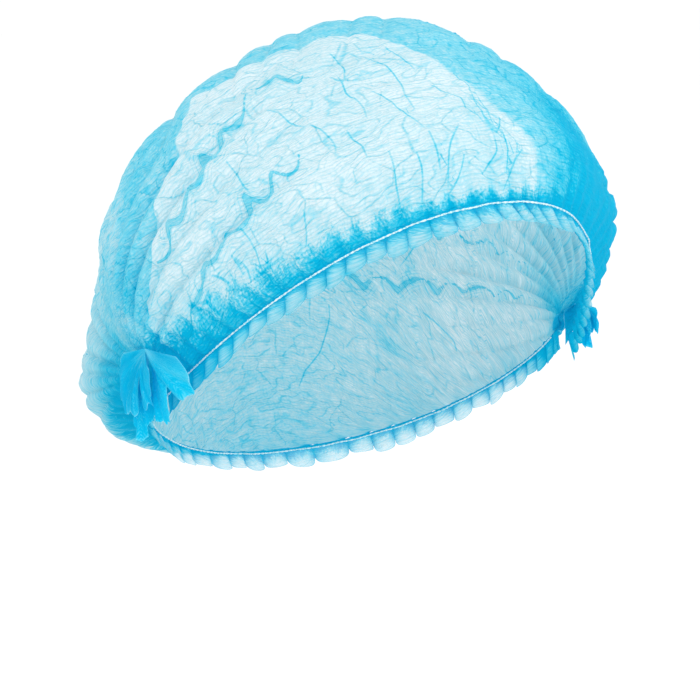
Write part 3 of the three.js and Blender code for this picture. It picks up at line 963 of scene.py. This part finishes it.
def cloth_material(name, relief, clear_field=None, painted_light_gain=1.0):
    """Thin spunbond: its tone field, deepened by its crinkles, its creases and its hems."""
    make = Shader(name)
    flow = make.field("flow", "Vector")
    marks = {**crinkle_marks(make, flow), **crease_marks(make), "band": hem_band(make, flow)}
    shade = make.marked(ground_tone(make, flow, marks["dots"]), marks, MARK_DEPTHS)
    # A gain over 1 brightens every stop of the ramp: painted light.
    colours = [
        (place, [min(painted_light_gain * share, 1) for share in colour]) for place, colour in TONE_COLOURS
    ]
    colour = make.ramp(make.math("MINIMUM", shade, DEEPEST_TONE), colours)
    height = make.marked(0.0, marks, MARK_HEIGHTS)
    bumps = make.node("Bump", Strength=relief, Distance=BUMP_DISTANCE, Height=height)
    normal = bumps.outputs["Normal"]
    surface = make.node("BsdfPrincipled", Base_Color=colour, Normal=normal, Roughness=0.6,
                        Specular_IOR_Level=0.03, Sheen_Weight=0.015, Sheen_Roughness=0.4)
    through = make.node("BsdfTranslucent", Color=colour, Normal=normal)
    cloth = make.node("MixShader", TRANSLUCENCE, surface.outputs[0], through.outputs[0])
    if clear_field:
        pores = make.times(make.field(clear_field), make.plus(marks["fibres"], 0.5))
        clear = make.node("BsdfTransparent")
        cloth = make.node("MixShader", pores, cloth.outputs[0], clear.outputs[0])
    return make.finish(cloth)


def thread_material():
    make = Shader("elastic_thread_cover")
    place = make.node("TexCoord").outputs["Object"]
    speckles = make.texture("Noise", place, Scale=1500.0)
    colour = make.ramp(speckles, THREAD_COLOURS)
    return make.finish(make.node("BsdfPrincipled", Base_Color=colour, Roughness=0.7))


# Studio

FLOOR_HALF = 6.0
FLOOR_HEIGHT = -0.20
WORLD_STRENGTH = 1.05
LIGHTS = (("key", (-0.9, -1.6, 1.5), 1.2, 10), ("fill", (1.3, -1.0, 0.6), 1.2, 4))


def floor_material():
    make = Shader("pale_floor")
    colour = make.ramp(make.node("TexNoise", Scale=30.0).outputs[0], FLOOR_COLOURS)
    surface = make.node("BsdfPrincipled", Base_Color=colour, Roughness=0.9, Specular_IOR_Level=0.1)
    return make.finish(surface)


def build_floor():
    corners = [(x, y, FLOOR_HEIGHT) for x, y in ((-1, -1), (1, -1), (1, 1), (-1, 1))]
    corners = [(FLOOR_HALF * x, FLOOR_HALF * y, z) for x, y, z in corners]
    floor = mesh_object("floor", corners, [(0, 1, 2, 3)])
    floor.data.materials.append(floor_material())


def build_camera():
    a, e, r = CAMERA_AZIMUTH, CAMERA_ELEVATION, CAMERA_ROLL
    back = Vector((math.sin(a) * math.cos(e), -math.cos(a) * math.cos(e), math.sin(e)))
    level = Vector((math.cos(a), math.sin(a), 0))
    upright = back.cross(level)
    right = math.cos(r) * level - math.sin(r) * upright
    up = math.sin(r) * level + math.cos(r) * upright
    half = PICTURE_SIZE / 2
    sideways = (ORIGIN_PIXEL[0] - half) / PIXELS_PER_METRE
    upwards = (half - ORIGIN_PIXEL[1]) / PIXELS_PER_METRE
    place = back * CAMERA_DISTANCE - right * sideways - up * upwards
    data = bpy.data.cameras.new("camera")
    data.sensor_width = SENSOR_WIDTH
    data.lens = PIXELS_PER_METRE * CAMERA_DISTANCE / PICTURE_SIZE * SENSOR_WIDTH
    data.clip_start = CAMERA_CLIP
    camera = bpy.data.objects.new("camera", data)
    turned = Matrix((right, up, back)).transposed().to_4x4()
    camera.matrix_world = Matrix.Translation(place) @ turned
    bpy.context.scene.collection.objects.link(camera)
    bpy.context.scene.camera = camera


def build_light():
    world = bpy.data.worlds.new("studio")
    bpy.context.scene.world = world
    world.use_nodes = True
    background = world.node_tree.nodes["Background"]
    background.inputs["Color"].default_value = (1, 1, 1, 1)
    background.inputs["Strength"].default_value = WORLD_STRENGTH
    for name, place, size, power in LIGHTS:
        data = bpy.data.lights.new(name, "AREA")
        data.shape = "DISK"
        data.size = size
        data.energy = power
        light = bpy.data.objects.new(name, data)
        light.location = place
        light.rotation_euler = (-Vector(place)).to_track_quat("-Z", "Y").to_euler()
        bpy.context.scene.collection.objects.link(light)
    bpy.context.scene.view_settings.view_transform = "Standard"


build_camera()
build_light()
build_floor()

crown_cloth = cloth_material("crown_nonwoven_cloth", 0.5)
ruffle_cloth = cloth_material("ruffle_nonwoven_cloth", 0.4, clear_field="clear")
# The gather's cloth is a brighter copy, painted light that offsets the shade on its leaves.
gather_cloth = cloth_material("gather_nonwoven_cloth", 0.4, painted_light_gain=1.14)
thread_cover = thread_material()

crown = build_crown()
crown.data.materials.append(crown_cloth)
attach(crown, "root")
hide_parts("crown")

for edge in (FRONT_EDGE, NAPE_EDGE):
    ruffle = build_ruffle(edge)
    ruffle.data.materials.append(ruffle_cloth)
    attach(ruffle, "root")
    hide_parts(f"{edge['name']}_ruffle")
    thread = build_thread(edge)
    thread.data.materials.append(thread_cover)
    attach(thread, "root")
    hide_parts(f"{edge['name']}_elastic")

for row in GATHERS:
    gather = build_gather(row)
    gather.data.materials.append(gather_cloth)
    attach(gather, "root")
    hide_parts(f"{row['name']}_gather")
